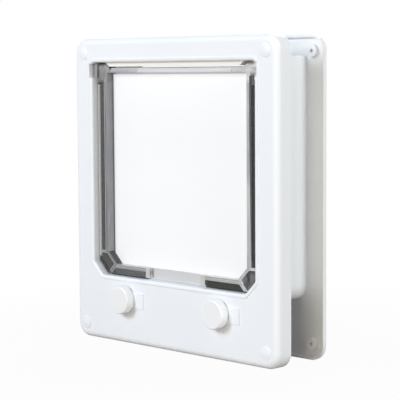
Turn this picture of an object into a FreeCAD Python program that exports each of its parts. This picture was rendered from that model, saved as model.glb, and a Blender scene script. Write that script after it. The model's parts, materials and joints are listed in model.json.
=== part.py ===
import FreeCAD, Part
import math
import os
from FreeCAD import Vector

# Cat flap with two frames that clamp a door, a clear swinging flap and two sliding locks.
# Millimetres. X to the right seen from the room, Y towards the outdoors, Z up.
# Origin: on the ground, in the middle of the whole object's width and depth.

# Outer frames
FRAME_WIDTH = 228.0
FRAME_HEIGHT = 250.0
FRAME_CORNER_R = 12.0
FRONT_DEPTH = 15.2
FRONT_EDGE_R = 5.0
FACE_WALL = 2.5
SIDE_WALL = 2.4
DOOR_GAP = 36.8
BACK_DEPTH = 5.0
BACK_EDGE_R = 2.0
BACK_WALL = 2.2
BACK_RIM_WALL = 2.0

# Opening through both frames
LIP_CAP_GAP = 2.0
TOP_MARGIN = 19.5
SILL_HEIGHT = 54.7
OPENING_CHAMFER = 10.5
OPENING_TOP_R = 1.5
CHAMFER_END_R = 3.0
LIP_WIDTH = 3.4
LIP_HEIGHT = 0.8
LIP_OUTER_ROUND = 0.7
LIP_INNER_ROUND = 2.0

# Tunnel: the front collar slides inside the back sleeve
COLLAR_WALL = 1.8
COLLAR_CLEARANCE = 0.3
COLLAR_LENGTH = 46.0
SLEEVE_WALL = 1.8
SLEEVE_END_GAP = 0.6
SLEEVE_DROP = 9.3
SLEEVE_TOP_R = 2.5
SLEEVE_BOTTOM_R = 12.5
SLEEVE_FLANGE = 2.5

# Fixing screws, their towers, bosses and caps
SCREW_INSET_X = 12.0
SCREW_INSET_Z = 12.2
SCREW_HOLE_R = 2.3
TOWER_R = 5.0
HEAD_POCKET_R = 4.0
HEAD_POCKET_DEPTH = 6.0
BOSS_R = 4.9
BOSS_HEIGHT = 2.8
PILOT_R = 1.5
PILOT_DEPTH = 4.0
CAP_R = 5.2
CAP_EDGE = 0.5
CAP_DOME = 0.7
CAP_SKIRT_WALL = 0.9
CAP_SKIRT_LENGTH = 4.0

# Flap: a clear tray with a channel round its edge
FLAP_FRONT = 4.9
FLAP_THICKNESS = 7.8
FLAP_SIDE_GAP = 1.6
FLAP_BOTTOM_GAP = 1.2
FLAP_CHAMFER = 9.8
FLAP_TOP_RISE = 4.3
FLAP_TOP_FLAT = 0.3
SHOULDER_DROP = 8.0
WINDOW_THICKNESS = 1.5
WINDOW_CHAMFER = 10.0
WINDOW_TOP_RISE = 0.2
WINDOW_CORNER_R = 0.8
RIM_WIDTH = 3.8
BOTTOM_RIM = 3.2
SIDE_CHANNEL = 7.4
BOTTOM_CHANNEL = 4.8
CORNER_CHANNEL = 11.4
CORNER_RISE = 6.8
CHANNEL_WALL = 1.2
CHANNEL_WEB = 1.4
CORNER_WEB = 1.9
SLANTED_WEB = 3.3
HOLDER_WEB = 4.6

# Pile strips
BRUSH_PROUD = 0.9
BRUSH_SIDE_CLEARANCE = 0.05

# Hinge
HINGE_DROP = 8.5
HINGE_SET_BACK = 4.8
PIN_R = 1.5
PIN_RUNNING_CLEARANCE = 0.05
PIN_IN_EAR = 8.0
PIN_END_GAP = 0.5
EAR_LENGTH = 14.0
EAR_RISE = 7.7
EAR_INSET = 1.4
EAR_CHAMFER = 5.0
BEARING_GAP = 0.4
BEARING_DEPTH = 2.8
BEARING_RISE = 7.8
BEARING_DROP = 4.0
BEARING_FRONT = 3.0
BEARING_BACK = 14.0
HOUSING_WALL = 1.6
COVER_THICKNESS = 3.4
COVER_FRONT = 3.0
COVER_BACK = 14.0
COVER_EAR_GAP = 1.0
COVER_END_SLANT = 4.5

# Magnets
HOLDER_HALF = 29.0
HOLDER_SILL_GAP = 0.9
HOLDER_FIT = 0.1
HOLDER_SET_BACK = 4.4
HOLDER_WALL = 1.2
HOLDER_END_WALL = 4.0
MAGNET_HEIGHT = 4.0
SILL_MAGNET_DEPTH = 4.0
POCKET_WALL = 1.5
POCKET_COVER = 1.6

# Locks: knob, track pad, cam plate, bolt
KNOB_OFFSET = 53.2
KNOB_DROP = 17.8
KNOB_R = 11.5
KNOB_PROUD = 8.6
KNOB_EDGE_R = 1.3
KNOB_WALL = 1.8
KNOB_PAD_GAP = 0.3
PAD_HEIGHT = 12.3
PAD_THICKNESS = 1.0
PAD_LEFT = 10.0
PAD_RIGHT = 22.0
LOCK_TRAVEL = 9.0
BOLT_LIFT = 5.5
STEM_HALF = 2.2
STEM_CLEARANCE = 0.3
SLIDE_CLEARANCE = 0.3
SLIDE_THICKNESS = 1.8
SLIDE_LEFT = 7.0
SLIDE_RIGHT = 22.0
SLIDE_BELOW = 8.0
SLIDE_ABOVE = 8.0
RAIL_WIDTH = 1.0
BOLT_OFFSET = 18.0
BOLT_HALF = 3.0
BOLT_THICKNESS = 1.8
BOLT_CLEARANCE = 0.2
BOLT_FLAP_GAP = 0.4
BOLT_SILL_DROP = 0.2
CAM_PIN_R = 1.5
CAM_PIN_CLEARANCE = 0.1
CAM_PIN_DROP = 3.0
BOLT_FOOT = 2.5
RETAINER_HALF = 6.0
RETAINER_WALL = 1.5
RETAINER_FOOT = 4.6
RETAINER_RIB = 1.5

# Small screws
SMALL_SCREW_R = 1.0
SMALL_HEAD_R = 2.2
SMALL_HEAD_HEIGHT = 1.4
SMALL_SCREW_LENGTH = 5.0

# Moulded stiffening ribs behind the face
RIB_THICKNESS = 1.6
RIB_DEPTH = 9.0
SIDE_RIB_COUNT = 3
TOP_RIB_COUNT = 3

# Worked-out places, measured back from the front face
TOTAL_DEPTH = FRONT_DEPTH + DOOR_GAP + BACK_DEPTH
BACK_RIM_Y = FRONT_DEPTH + DOOR_GAP
SCREW_X = FRAME_WIDTH / 2 - SCREW_INSET_X
OPENING_HALF = SCREW_X - CAP_R - LIP_CAP_GAP - LIP_WIDTH
OPENING_TOP = FRAME_HEIGHT - TOP_MARGIN
SILL_UNDERSIDE = SILL_HEIGHT - COLLAR_WALL
FLAP_BACK = FLAP_FRONT + FLAP_THICKNESS
HOLDER_FRONT = FLAP_FRONT + HOLDER_SET_BACK
MAGNET_FRONT = HOLDER_FRONT + HOLDER_WALL
MAGNET_Y = (MAGNET_FRONT + FLAP_BACK) / 2
MAGNET_HALF = HOLDER_HALF - HOLDER_END_WALL
HINGE_Y = FLAP_FRONT + HINGE_SET_BACK
HINGE_Z = OPENING_TOP - HINGE_DROP
FLAP_HALF = OPENING_HALF - FLAP_SIDE_GAP
FLAP_BOTTOM = SILL_HEIGHT + FLAP_BOTTOM_GAP
FLAP_TOP = HINGE_Z + FLAP_TOP_RISE
HOLDER_TOP = FLAP_BOTTOM + BOTTOM_CHANNEL + BOTTOM_RIM
SCREW_Z = (SCREW_INSET_Z, FRAME_HEIGHT - SCREW_INSET_Z)
KNOB_Z = SILL_HEIGHT - KNOB_DROP
FRONT_BOLT_Y = FLAP_FRONT - BOLT_FLAP_GAP - BOLT_THICKNESS
BACK_BOLT_Y = FLAP_BACK + BOLT_FLAP_GAP
SLIDE_FRONT = FRONT_BOLT_Y + BOLT_THICKNESS + SLIDE_CLEARANCE
SLIDE_BACK = SLIDE_FRONT + SLIDE_THICKNESS
CAM_Z = KNOB_Z - CAM_PIN_DROP
SHOULDER_Z = HINGE_Z - SHOULDER_DROP
EAR_OUTER = FLAP_HALF - EAR_INSET
EAR_INNER = EAR_OUTER - EAR_LENGTH
KNOB_X = {"left": -KNOB_OFFSET, "right": KNOB_OFFSET}
BOLT_Y = {"left": FRONT_BOLT_Y, "right": BACK_BOLT_Y}
# The knobs stand out in front of the face, so the middle of the depth lies forward of the frames'
MIDDLE_Y = (TOTAL_DEPTH - KNOB_PROUD) / 2
TOUCH = 0.001


def box(x0, x1, y0, y1, z0, z1):
    return Part.makeBox(x1 - x0, y1 - y0, z1 - z0, Vector(x0, y0, z0))


def rod(radius, length, start, direction):
    return Part.makeCylinder(radius, length, start, direction)


def y_rod(radius, x, z, y0, y1):
    return rod(radius, y1 - y0, Vector(x, y0, z), Vector(0, 1, 0))


def rounded_prism(points, radii, y0, y1):
    """Solid from y0 to y1 over an outline of (x, z) points, each corner rounded by its radius."""
    corners = []
    count = len(points)
    for i in range(count):
        here = Vector(points[i][0], y0, points[i][1])
        before = Vector(points[i - 1][0], y0, points[i - 1][1])
        after = Vector(points[(i + 1) % count][0], y0, points[(i + 1) % count][1])
        back = (before - here).normalize()
        ahead = (after - here).normalize()
        half_angle = back.getAngle(ahead) / 2
        reach = radii[i] / math.tan(half_angle)
        middle = (back + ahead).normalize() * (radii[i] / math.sin(half_angle) - radii[i])
        corners.append((here + back * reach, here + middle, here + ahead * reach, radii[i]))
    edges = []
    for i in range(count):
        start, middle, end, radius = corners[i]
        if radius > 0:
            edges.append(Part.Arc(start, middle, end).toShape())
        following = corners[(i + 1) % count][0]
        edges.append(Part.LineSegment(end, following).toShape())
    return Part.Face(Part.Wire(edges)).extrude(Vector(0, y1 - y0, 0))


def frame_prism(inset, y0, y1):
    half = FRAME_WIDTH / 2 - inset
    low = inset
    high = FRAME_HEIGHT - inset
    points = [(-half, high), (half, high), (half, low), (-half, low)]
    return rounded_prism(points, [FRAME_CORNER_R - inset] * 4, y0, y1)


def chamfered_outline(half, low, high, chamfer):
    return [
        (-half, high),
        (half, high),
        (half, low + chamfer),
        (half - chamfer, low),
        (chamfer - half, low),
        (-half, low + chamfer),
    ]


def opening_prism(offset, y0, y1):
    """The opening's outline, grown by offset on every side, as a solid from y0 to y1."""
    chamfer = OPENING_CHAMFER + offset * (2 - math.sqrt(2))
    points = chamfered_outline(
        OPENING_HALF + offset, SILL_HEIGHT - offset, OPENING_TOP + offset, chamfer
    )
    top = OPENING_TOP_R + offset
    end = CHAMFER_END_R + offset
    return rounded_prism(points, [top, top, end, end, end, end], y0, y1)


def edges_at_y(shape, y):
    """Edges of a shape that lie whole in the plane at y."""
    found = []
    for edge in shape.Edges:
        limits = edge.BoundBox
        if abs(limits.YMin - y) < TOUCH and abs(limits.YMax - y) < TOUCH:
            found.append(edge)
    return found


def opening_edges_at_y(shape, y):
    """Edges in the plane at y that lie on the opening's outline."""
    found = []
    for edge in edges_at_y(shape, y):
        limits = edge.BoundBox
        across = max(-limits.XMin, limits.XMax) < OPENING_HALF + TOUCH
        upright = limits.ZMin > SILL_HEIGHT - TOUCH and limits.ZMax < OPENING_TOP + TOUCH
        if across and upright:
            found.append(edge)
    return found


def screw_places():
    return [(side * SCREW_X, z) for side in (-1, 1) for z in SCREW_Z]


# Front frame

def front_shell():
    outer = frame_prism(0, 0, FRONT_DEPTH)
    outer = outer.makeFillet(FRONT_EDGE_R, edges_at_y(outer, 0))
    cavity = frame_prism(SIDE_WALL, FACE_WALL, FRONT_DEPTH)
    cavity = cavity.makeFillet(FRONT_EDGE_R - FACE_WALL, edges_at_y(cavity, FACE_WALL))
    lip = opening_prism(LIP_WIDTH, -LIP_HEIGHT, FACE_WALL / 2)
    lip = lip.makeFillet(LIP_OUTER_ROUND, edges_at_y(lip, -LIP_HEIGHT))
    collar = opening_prism(COLLAR_WALL, FACE_WALL / 2, COLLAR_LENGTH)
    shell = outer.cut(cavity).fuse([lip, collar]).cut(opening_prism(0, -LIP_HEIGHT, COLLAR_LENGTH))
    return shell.makeFillet(LIP_INNER_ROUND, opening_edges_at_y(shell, -LIP_HEIGHT))


def front_towers():
    return [y_rod(TOWER_R, x, z, FACE_WALL / 2, FRONT_DEPTH) for x, z in screw_places()]


def front_ribs():
    """Thin ribs that tie the collar to the side and top walls behind the face."""
    ribs = []
    rib_back = FACE_WALL + RIB_DEPTH
    half = RIB_THICKNESS / 2
    wall_x = FRAME_WIDTH / 2 - SIDE_WALL
    height = OPENING_TOP - SILL_HEIGHT
    for i in range(SIDE_RIB_COUNT):
        z = SILL_HEIGHT + height * (i + 1) / (SIDE_RIB_COUNT + 1)
        for side in (-1, 1):
            ends = sorted((side * OPENING_HALF, side * wall_x))
            ribs.append(box(ends[0], ends[1], FACE_WALL, rib_back, z - half, z + half))
    for i in range(TOP_RIB_COUNT):
        x = OPENING_HALF * (2 * (i + 1) / (TOP_RIB_COUNT + 1) - 1)
        ribs.append(box(x - half, x + half, FACE_WALL, rib_back, OPENING_TOP, FRAME_HEIGHT - SIDE_WALL))
    return ribs


def hinge_housings():
    """Boxes behind the opening's sides that hold the hinge bearings."""
    low = HINGE_Z - BEARING_DROP - HOUSING_WALL
    high = HINGE_Z + BEARING_RISE + HOUSING_WALL
    reach = OPENING_HALF + BEARING_DEPTH + HOUSING_WALL
    places = [sorted((side * OPENING_HALF, side * reach)) for side in (-1, 1)]
    return [box(x0, x1, 0, FRONT_DEPTH, low, high) for x0, x1 in places]


def bearing_recess(side):
    ends = sorted((side * (OPENING_HALF - LIP_WIDTH), side * (OPENING_HALF + BEARING_DEPTH)))
    return box(ends[0], ends[1], -LIP_HEIGHT, BEARING_BACK,
               HINGE_Z - BEARING_DROP, HINGE_Z + BEARING_RISE)


def magnet_pocket():
    """Tray under the sill for the fixed magnet."""
    half = MAGNET_HALF + POCKET_WALL
    depth = SILL_MAGNET_DEPTH / 2 + POCKET_WALL
    low = SILL_UNDERSIDE - MAGNET_HEIGHT
    return box(-half, half, MAGNET_Y - depth, MAGNET_Y + depth, low, SILL_UNDERSIDE)


def lock_pad(knob_x):
    half = PAD_HEIGHT / 2
    return box(knob_x - PAD_LEFT, knob_x + PAD_RIGHT, -PAD_THICKNESS, FACE_WALL / 2,
               KNOB_Z - half, KNOB_Z + half)


def slide_rails(knob_x):
    """Rails above and below a cam plate, as long as it and its travel."""
    x0 = knob_x - SLIDE_LEFT
    x1 = knob_x + SLIDE_RIGHT + LOCK_TRAVEL
    low = KNOB_Z - SLIDE_BELOW - SLIDE_CLEARANCE
    high = KNOB_Z + SLIDE_ABOVE + SLIDE_CLEARANCE
    return [
        box(x0, x1, FACE_WALL / 2, SLIDE_BACK, low - RAIL_WIDTH, low),
        box(x0, x1, FACE_WALL / 2, SLIDE_BACK, high, high + RAIL_WIDTH),
    ]


def front_bolt_guides():
    """Two upright ribs on the back of the face, one each side of the front bolt."""
    x = BOLT_OFFSET - KNOB_OFFSET
    reach = BOLT_HALF + BOLT_CLEARANCE
    guides = []
    for side in (-1, 1):
        ends = sorted((x + side * reach, x + side * (reach + RAIL_WIDTH)))
        guides.append(box(ends[0], ends[1], FACE_WALL / 2, FRONT_BOLT_Y + BOLT_THICKNESS,
                          CAM_Z - BOLT_FOOT, SILL_UNDERSIDE))
    return guides


def stem_slot(knob_x):
    reach = STEM_HALF + STEM_CLEARANCE
    return box(knob_x - reach, knob_x + LOCK_TRAVEL + reach, -PAD_THICKNESS, FACE_WALL,
               KNOB_Z - reach, KNOB_Z + reach)


def bolt_hole(knob_x, bolt_y):
    """Way for a bolt up through the upper rail and the sill."""
    x = knob_x + BOLT_OFFSET
    reach = BOLT_HALF + BOLT_CLEARANCE
    return box(x - reach, x + reach, bolt_y - BOLT_CLEARANCE,
               bolt_y + BOLT_THICKNESS + BOLT_CLEARANCE, KNOB_Z, SILL_HEIGHT)


def retainer_screw_place(knob_x):
    low_rail = KNOB_Z - SLIDE_BELOW - SLIDE_CLEARANCE - RAIL_WIDTH
    return knob_x + BOLT_OFFSET, low_rail - RETAINER_FOOT / 2


def front_frame():
    body = front_shell()
    additions = front_towers() + front_ribs() + hinge_housings() + [magnet_pocket()]
    additions.extend(front_bolt_guides())
    for knob_x in KNOB_X.values():
        additions.append(lock_pad(knob_x))
        additions.extend(slide_rails(knob_x))
    body = body.fuse(additions)
    cuts = [opening_prism(0, FACE_WALL, COLLAR_LENGTH), sill_magnet()]
    for x, z in screw_places():
        cuts.append(y_rod(SCREW_HOLE_R, x, z, 0, FRONT_DEPTH))
        cuts.append(y_rod(HEAD_POCKET_R, x, z, 0, HEAD_POCKET_DEPTH))
    cuts.extend([bearing_recess(-1), bearing_recess(1)])
    for side, knob_x in KNOB_X.items():
        cuts.append(stem_slot(knob_x))
        cuts.append(bolt_hole(knob_x, BOLT_Y[side]))
    return body.cut(cuts).removeSplitter()


# Back frame

def sleeve_prism(inset, y0, y1):
    """The sleeve's outline, drawn in by inset on every side, as a solid from y0 to y1."""
    reach = COLLAR_WALL + COLLAR_CLEARANCE + SLEEVE_WALL - inset
    half = OPENING_HALF + reach
    low = SILL_HEIGHT - SLEEVE_DROP + inset
    high = OPENING_TOP + reach
    top = SLEEVE_TOP_R - inset
    bottom = SLEEVE_BOTTOM_R - inset
    points = [(-half, high), (half, high), (half, low), (-half, low)]
    return rounded_prism(points, [top, top, bottom, bottom], y0, y1)


def back_frame():
    plate = frame_prism(0, BACK_RIM_Y, TOTAL_DEPTH)
    plate = plate.makeFillet(BACK_EDGE_R, edges_at_y(plate, TOTAL_DEPTH))
    plate_front = TOTAL_DEPTH - BACK_WALL
    tray = frame_prism(BACK_RIM_WALL, BACK_RIM_Y, plate_front)
    sleeve = sleeve_prism(0, FRONT_DEPTH + SLEEVE_END_GAP, plate_front)
    boss_front = plate_front - BOSS_HEIGHT
    bosses = [y_rod(BOSS_R, x, z, boss_front, plate_front) for x, z in screw_places()]
    body = plate.cut(tray).fuse([sleeve] + bosses)
    cuts = [
        sleeve_prism(SLEEVE_WALL, FRONT_DEPTH, TOTAL_DEPTH - SLEEVE_FLANGE),
        opening_prism(0, FRONT_DEPTH, TOTAL_DEPTH),
    ]
    for x, z in screw_places():
        cuts.append(y_rod(PILOT_R, x, z, boss_front, boss_front + PILOT_DEPTH))
    return body.cut(cuts).removeSplitter()


def screw_cap(x, z):
    """Domed cap with a hollow skirt that presses into the screw head's pocket."""
    crown = CAP_EDGE + CAP_DOME
    dome_r = (CAP_R ** 2 + CAP_DOME ** 2) / (2 * CAP_DOME)
    ball = Part.makeSphere(dome_r, Vector(x, dome_r - crown, z))
    dome = y_rod(CAP_R, x, z, -crown, 0).common(ball)
    skirt = y_rod(HEAD_POCKET_R, x, z, -CAP_EDGE / 2, CAP_SKIRT_LENGTH)
    hollow = y_rod(HEAD_POCKET_R - CAP_SKIRT_WALL, x, z, 0, CAP_SKIRT_LENGTH)
    return dome.fuse(skirt).cut(hollow)


# Flap

def flap_outline():
    return chamfered_outline(FLAP_HALF, FLAP_BOTTOM, SHOULDER_Z, FLAP_CHAMFER)


def hinge_ear(side):
    """Rounded block round the pin's bore, with its inner top corner cut off."""
    ends = sorted((side * EAR_OUTER, side * EAR_INNER))
    top = HINGE_Z + EAR_RISE
    ear = round_topped(ends[0], ends[1], SHOULDER_Z, top)
    inner = side * EAR_INNER
    corner = [(inner, top), (inner + side * EAR_CHAMFER, top), (inner, top - EAR_CHAMFER)]
    wedge = rounded_prism(corner, [0, 0, 0], FLAP_FRONT, FLAP_BACK)
    return ear.cut(wedge)


def round_topped(x0, x1, low, top):
    """Block as thick as the flap, rounded over its top but for a narrow flat."""
    block = box(x0, x1, FLAP_FRONT, FLAP_BACK, low, top)
    edges = [e for e in block.Edges if top - e.BoundBox.ZMin < TOUCH < e.BoundBox.XLength]
    return block.makeFillet((FLAP_THICKNESS - FLAP_TOP_FLAT) / 2, edges)


def channel_outlines():
    """Outlines of the right-hand pile channels, and for each edge whether it is open at the rim."""
    bend = FLAP_BOTTOM + FLAP_CHAMFER
    foot = FLAP_HALF - FLAP_CHAMFER
    side_inner = FLAP_HALF - SIDE_CHANNEL
    side_low = bend + CORNER_RISE + CORNER_WEB
    side_high = SHOULDER_Z - CHANNEL_WEB
    corner_top = bend + CORNER_RISE
    corner_inset = CORNER_CHANNEL / math.sqrt(2)
    corner_inner = foot + corner_top - FLAP_BOTTOM - 2 * corner_inset
    bottom_start = HOLDER_HALF + HOLDER_FIT + HOLDER_WEB
    bottom_end = foot - SLANTED_WEB * math.sqrt(2)
    bottom_top = FLAP_BOTTOM + BOTTOM_CHANNEL
    side = [(side_inner, side_low), (FLAP_HALF, side_low), (FLAP_HALF, side_high), (side_inner, side_high)]
    corner = [
        (foot, FLAP_BOTTOM),
        (FLAP_HALF, bend),
        (FLAP_HALF, corner_top),
        (corner_inner, corner_top),
        (foot - corner_inset, FLAP_BOTTOM + corner_inset),
    ]
    bottom = [
        (bottom_start, FLAP_BOTTOM),
        (bottom_end, FLAP_BOTTOM),
        (bottom_end - BOTTOM_CHANNEL, bottom_top),
        (bottom_start, bottom_top),
    ]
    return {
        "": (side, (False, True, False, False)),
        "corner_": (corner, (True, True, False, False, False)),
        "bottom_": (bottom, (True, False, False, False)),
    }


def moved_outline(points, moves):
    """Outline with each edge moved outward by its own distance; edge i starts at point i."""
    lines = []
    for i in range(len(points)):
        start = points[i]
        end = points[(i + 1) % len(points)]
        length = math.hypot(end[0] - start[0], end[1] - start[1])
        across = ((end[1] - start[1]) / length, (start[0] - end[0]) / length)
        lines.append((across[0], across[1], across[0] * start[0] + across[1] * start[1] + moves[i]))
    corners = []
    for i in range(len(lines)):
        a, b, c = lines[i - 1]
        d, e, f = lines[i]
        scale = a * e - b * d
        corners.append(((c * e - b * f) / scale, (a * f - c * d) / scale))
    return corners


def channel_block(outline, side, outward, inward, y0, y1):
    """Block over a channel: its open edges move outward, its walls move inward."""
    points, open_edges = outline
    moves = [outward if is_open else -inward for is_open in open_edges]
    corners = [(side * x, z) for x, z in moved_outline(points, moves)]
    return rounded_prism(corners, [0] * len(corners), y0, y1)


def window_recess():
    half = FLAP_HALF - SIDE_CHANNEL - RIM_WIDTH
    points = chamfered_outline(half, HOLDER_TOP, HINGE_Z + WINDOW_TOP_RISE, WINDOW_CHAMFER)
    return rounded_prism(points, [WINDOW_CORNER_R] * 6, FLAP_FRONT, FLAP_BACK - WINDOW_THICKNESS)


def flap_pane():
    body = rounded_prism(flap_outline(), [0] * 6, FLAP_FRONT, FLAP_BACK)
    top = round_topped(-EAR_OUTER, EAR_OUTER, SHOULDER_Z, FLAP_TOP)
    body = body.fuse([top, hinge_ear(-1), hinge_ear(1)])
    cuts = [window_recess()]
    half = HOLDER_HALF + HOLDER_FIT
    cuts.append(box(-half, half, FLAP_FRONT, FLAP_BACK, FLAP_BOTTOM, HOLDER_TOP))
    bore = PIN_R + PIN_RUNNING_CLEARANCE
    for side in (-1, 1):
        for outline in channel_outlines().values():
            cuts.append(channel_block(outline, side, FLAP_SIDE_GAP, 0,
                                      FLAP_FRONT + CHANNEL_WALL, FLAP_BACK - CHANNEL_WALL))
        start = Vector(side * (EAR_OUTER - PIN_IN_EAR - PIN_END_GAP), HINGE_Y, HINGE_Z)
        cuts.append(rod(bore, PIN_IN_EAR + PIN_END_GAP, start, Vector(side, 0, 0)))
    return body.cut(cuts).removeSplitter()


def brush_strip(outline, side):
    """Pile strip that fills its channel and stands a little out of it."""
    front = FLAP_FRONT + CHANNEL_WALL + BRUSH_SIDE_CLEARANCE
    back = FLAP_BACK - CHANNEL_WALL - BRUSH_SIDE_CLEARANCE
    return channel_block(outline, side, BRUSH_PROUD, BRUSH_SIDE_CLEARANCE, front, back)


def magnet_holder():
    """Holder pressed into the break in the rim under the window, open to the back for its magnet."""
    low = SILL_HEIGHT + HOLDER_SILL_GAP
    high = HOLDER_TOP - HOLDER_FIT
    return box(-HOLDER_HALF, HOLDER_HALF, HOLDER_FRONT, FLAP_BACK, low, high).cut(flap_magnet())


def flap_magnet():
    low = FLAP_BOTTOM + HOLDER_WALL
    return box(-MAGNET_HALF, MAGNET_HALF, MAGNET_FRONT, FLAP_BACK, low, low + MAGNET_HEIGHT)


# Hinge pieces in the frame

def hinge_bearing(side):
    inner = EAR_OUTER + BEARING_GAP
    outer = OPENING_HALF + BEARING_DEPTH
    ends = sorted((side * inner, side * outer))
    block = box(ends[0], ends[1], BEARING_FRONT, BEARING_BACK,
                HINGE_Z - BEARING_DROP, HINGE_Z + BEARING_RISE)
    hole = rod(PIN_R, outer - inner, Vector(side * inner, HINGE_Y, HINGE_Z), Vector(side, 0, 0))
    return block.cut(hole)


def hinge_pin(side):
    start = Vector(side * (EAR_OUTER - PIN_IN_EAR), HINGE_Y, HINGE_Z)
    length = PIN_IN_EAR + OPENING_HALF + BEARING_DEPTH - EAR_OUTER
    return rod(PIN_R, length, start, Vector(side, 0, 0))


def hinge_cover():
    """Bar over the flap's top, its ends slanted beside the ears."""
    half = EAR_INNER - COVER_EAR_GAP
    low = OPENING_TOP - COVER_THICKNESS
    reach = half + COVER_END_SLANT
    points = [(-reach, OPENING_TOP), (reach, OPENING_TOP), (half, low), (-half, low)]
    return rounded_prism(points, [0] * 4, COVER_FRONT, COVER_BACK)


# Fixed magnet under the sill

def sill_magnet():
    half = SILL_MAGNET_DEPTH / 2
    return box(-MAGNET_HALF, MAGNET_HALF, MAGNET_Y - half, MAGNET_Y + half,
               SILL_UNDERSIDE - MAGNET_HEIGHT, SILL_UNDERSIDE)


def sill_magnet_cover():
    half = MAGNET_HALF + POCKET_WALL
    depth = SILL_MAGNET_DEPTH / 2 + POCKET_WALL
    high = SILL_UNDERSIDE - MAGNET_HEIGHT
    return box(-half, half, MAGNET_Y - depth, MAGNET_Y + depth, high - POCKET_COVER, high)


# Locks

def lock_knob(knob_x):
    """Round moulded knob, hollow behind, with a square stem that passes through the face."""
    back = -PAD_THICKNESS - KNOB_PAD_GAP
    disc = y_rod(KNOB_R, knob_x, KNOB_Z, -KNOB_PROUD, back)
    disc = disc.makeFillet(KNOB_EDGE_R, edges_at_y(disc, -KNOB_PROUD))
    hollow = y_rod(KNOB_R - KNOB_WALL, knob_x, KNOB_Z, -KNOB_PROUD + KNOB_WALL, back)
    stem = box(knob_x - STEM_HALF, knob_x + STEM_HALF, -KNOB_PROUD + KNOB_WALL, SLIDE_FRONT,
               KNOB_Z - STEM_HALF, KNOB_Z + STEM_HALF)
    screw_hole = y_rod(SMALL_SCREW_R, knob_x, KNOB_Z, SLIDE_BACK - SMALL_SCREW_LENGTH, SLIDE_FRONT)
    return disc.cut(hollow).fuse(stem).cut(screw_hole)


def cam_slot(bolt_x):
    """Inclined slot: the bolt's pin climbs it while the plate slides to the right."""
    radius = CAM_PIN_R + CAM_PIN_CLEARANCE
    low = (bolt_x, CAM_Z)
    high = (bolt_x - LOCK_TRAVEL, CAM_Z + BOLT_LIFT)
    length = math.hypot(LOCK_TRAVEL, BOLT_LIFT)
    across = (BOLT_LIFT / length * radius, LOCK_TRAVEL / length * radius)
    corners = [
        (low[0] + across[0], low[1] + across[1]),
        (high[0] + across[0], high[1] + across[1]),
        (high[0] - across[0], high[1] - across[1]),
        (low[0] - across[0], low[1] - across[1]),
    ]
    middle = rounded_prism(corners, [0] * 4, SLIDE_FRONT, SLIDE_BACK)
    ends = [y_rod(radius, x, z, SLIDE_FRONT, SLIDE_BACK) for x, z in (low, high)]
    return middle.fuse(ends)


def lock_slide(knob_x):
    plate = box(knob_x - SLIDE_LEFT, knob_x + SLIDE_RIGHT, SLIDE_FRONT, SLIDE_BACK,
                KNOB_Z - SLIDE_BELOW, KNOB_Z + SLIDE_ABOVE)
    hole = y_rod(SMALL_SCREW_R, knob_x, KNOB_Z, SLIDE_FRONT, SLIDE_BACK)
    return plate.cut([hole, cam_slot(knob_x + BOLT_OFFSET)])


def lock_bolt(knob_x, bolt_y):
    """Flat bolt that rises through the sill, moved by a round pin in the cam slot."""
    x = knob_x + BOLT_OFFSET
    top = SILL_HEIGHT - BOLT_SILL_DROP
    blade = box(x - BOLT_HALF, x + BOLT_HALF, bolt_y, bolt_y + BOLT_THICKNESS, CAM_Z - BOLT_FOOT, top)
    ends = sorted((bolt_y + BOLT_THICKNESS / 2, SLIDE_BACK if bolt_y < SLIDE_FRONT else SLIDE_FRONT))
    return blade.fuse(y_rod(CAM_PIN_R, x, CAM_Z, ends[0], ends[1]))


def retainer_feet(x, bridge_front):
    low = KNOB_Z - SLIDE_BELOW - SLIDE_CLEARANCE - RAIL_WIDTH
    high = KNOB_Z + SLIDE_ABOVE + SLIDE_CLEARANCE + RAIL_WIDTH
    x0 = x - RETAINER_HALF
    x1 = x + RETAINER_HALF
    return [
        box(x0, x1, FACE_WALL, bridge_front, low - RETAINER_FOOT, low),
        box(x0, x1, FACE_WALL, bridge_front, high, high + RETAINER_FOOT),
    ]


def retainer_bridge(x, y0, y1):
    low = KNOB_Z - SLIDE_BELOW - SLIDE_CLEARANCE - RAIL_WIDTH - RETAINER_FOOT
    high = KNOB_Z + SLIDE_ABOVE + SLIDE_CLEARANCE + RAIL_WIDTH + RETAINER_FOOT
    return box(x - RETAINER_HALF, x + RETAINER_HALF, y0, y1, low, high)


def lock_retainer_left(knob_x):
    """Bracket behind the left cam plate: the rails carry its plate, the face its two feet."""
    x = knob_x + BOLT_OFFSET
    bridge_front = SLIDE_BACK + SLIDE_CLEARANCE
    bridge_back = bridge_front + RETAINER_WALL
    bracket = retainer_bridge(x, bridge_front, bridge_back)
    bracket = bracket.fuse(retainer_feet(x, bridge_front))
    reach = BOLT_HALF + BOLT_CLEARANCE + RAIL_WIDTH + BOLT_CLEARANCE
    channel = box(x - reach, x + reach, FACE_WALL, SLIDE_FRONT, KNOB_Z, SILL_HEIGHT)
    screw_x, screw_z = retainer_screw_place(knob_x)
    hole = y_rod(SMALL_SCREW_R, screw_x, screw_z, FACE_WALL, bridge_back)
    return bracket.cut([channel, hole])


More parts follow.
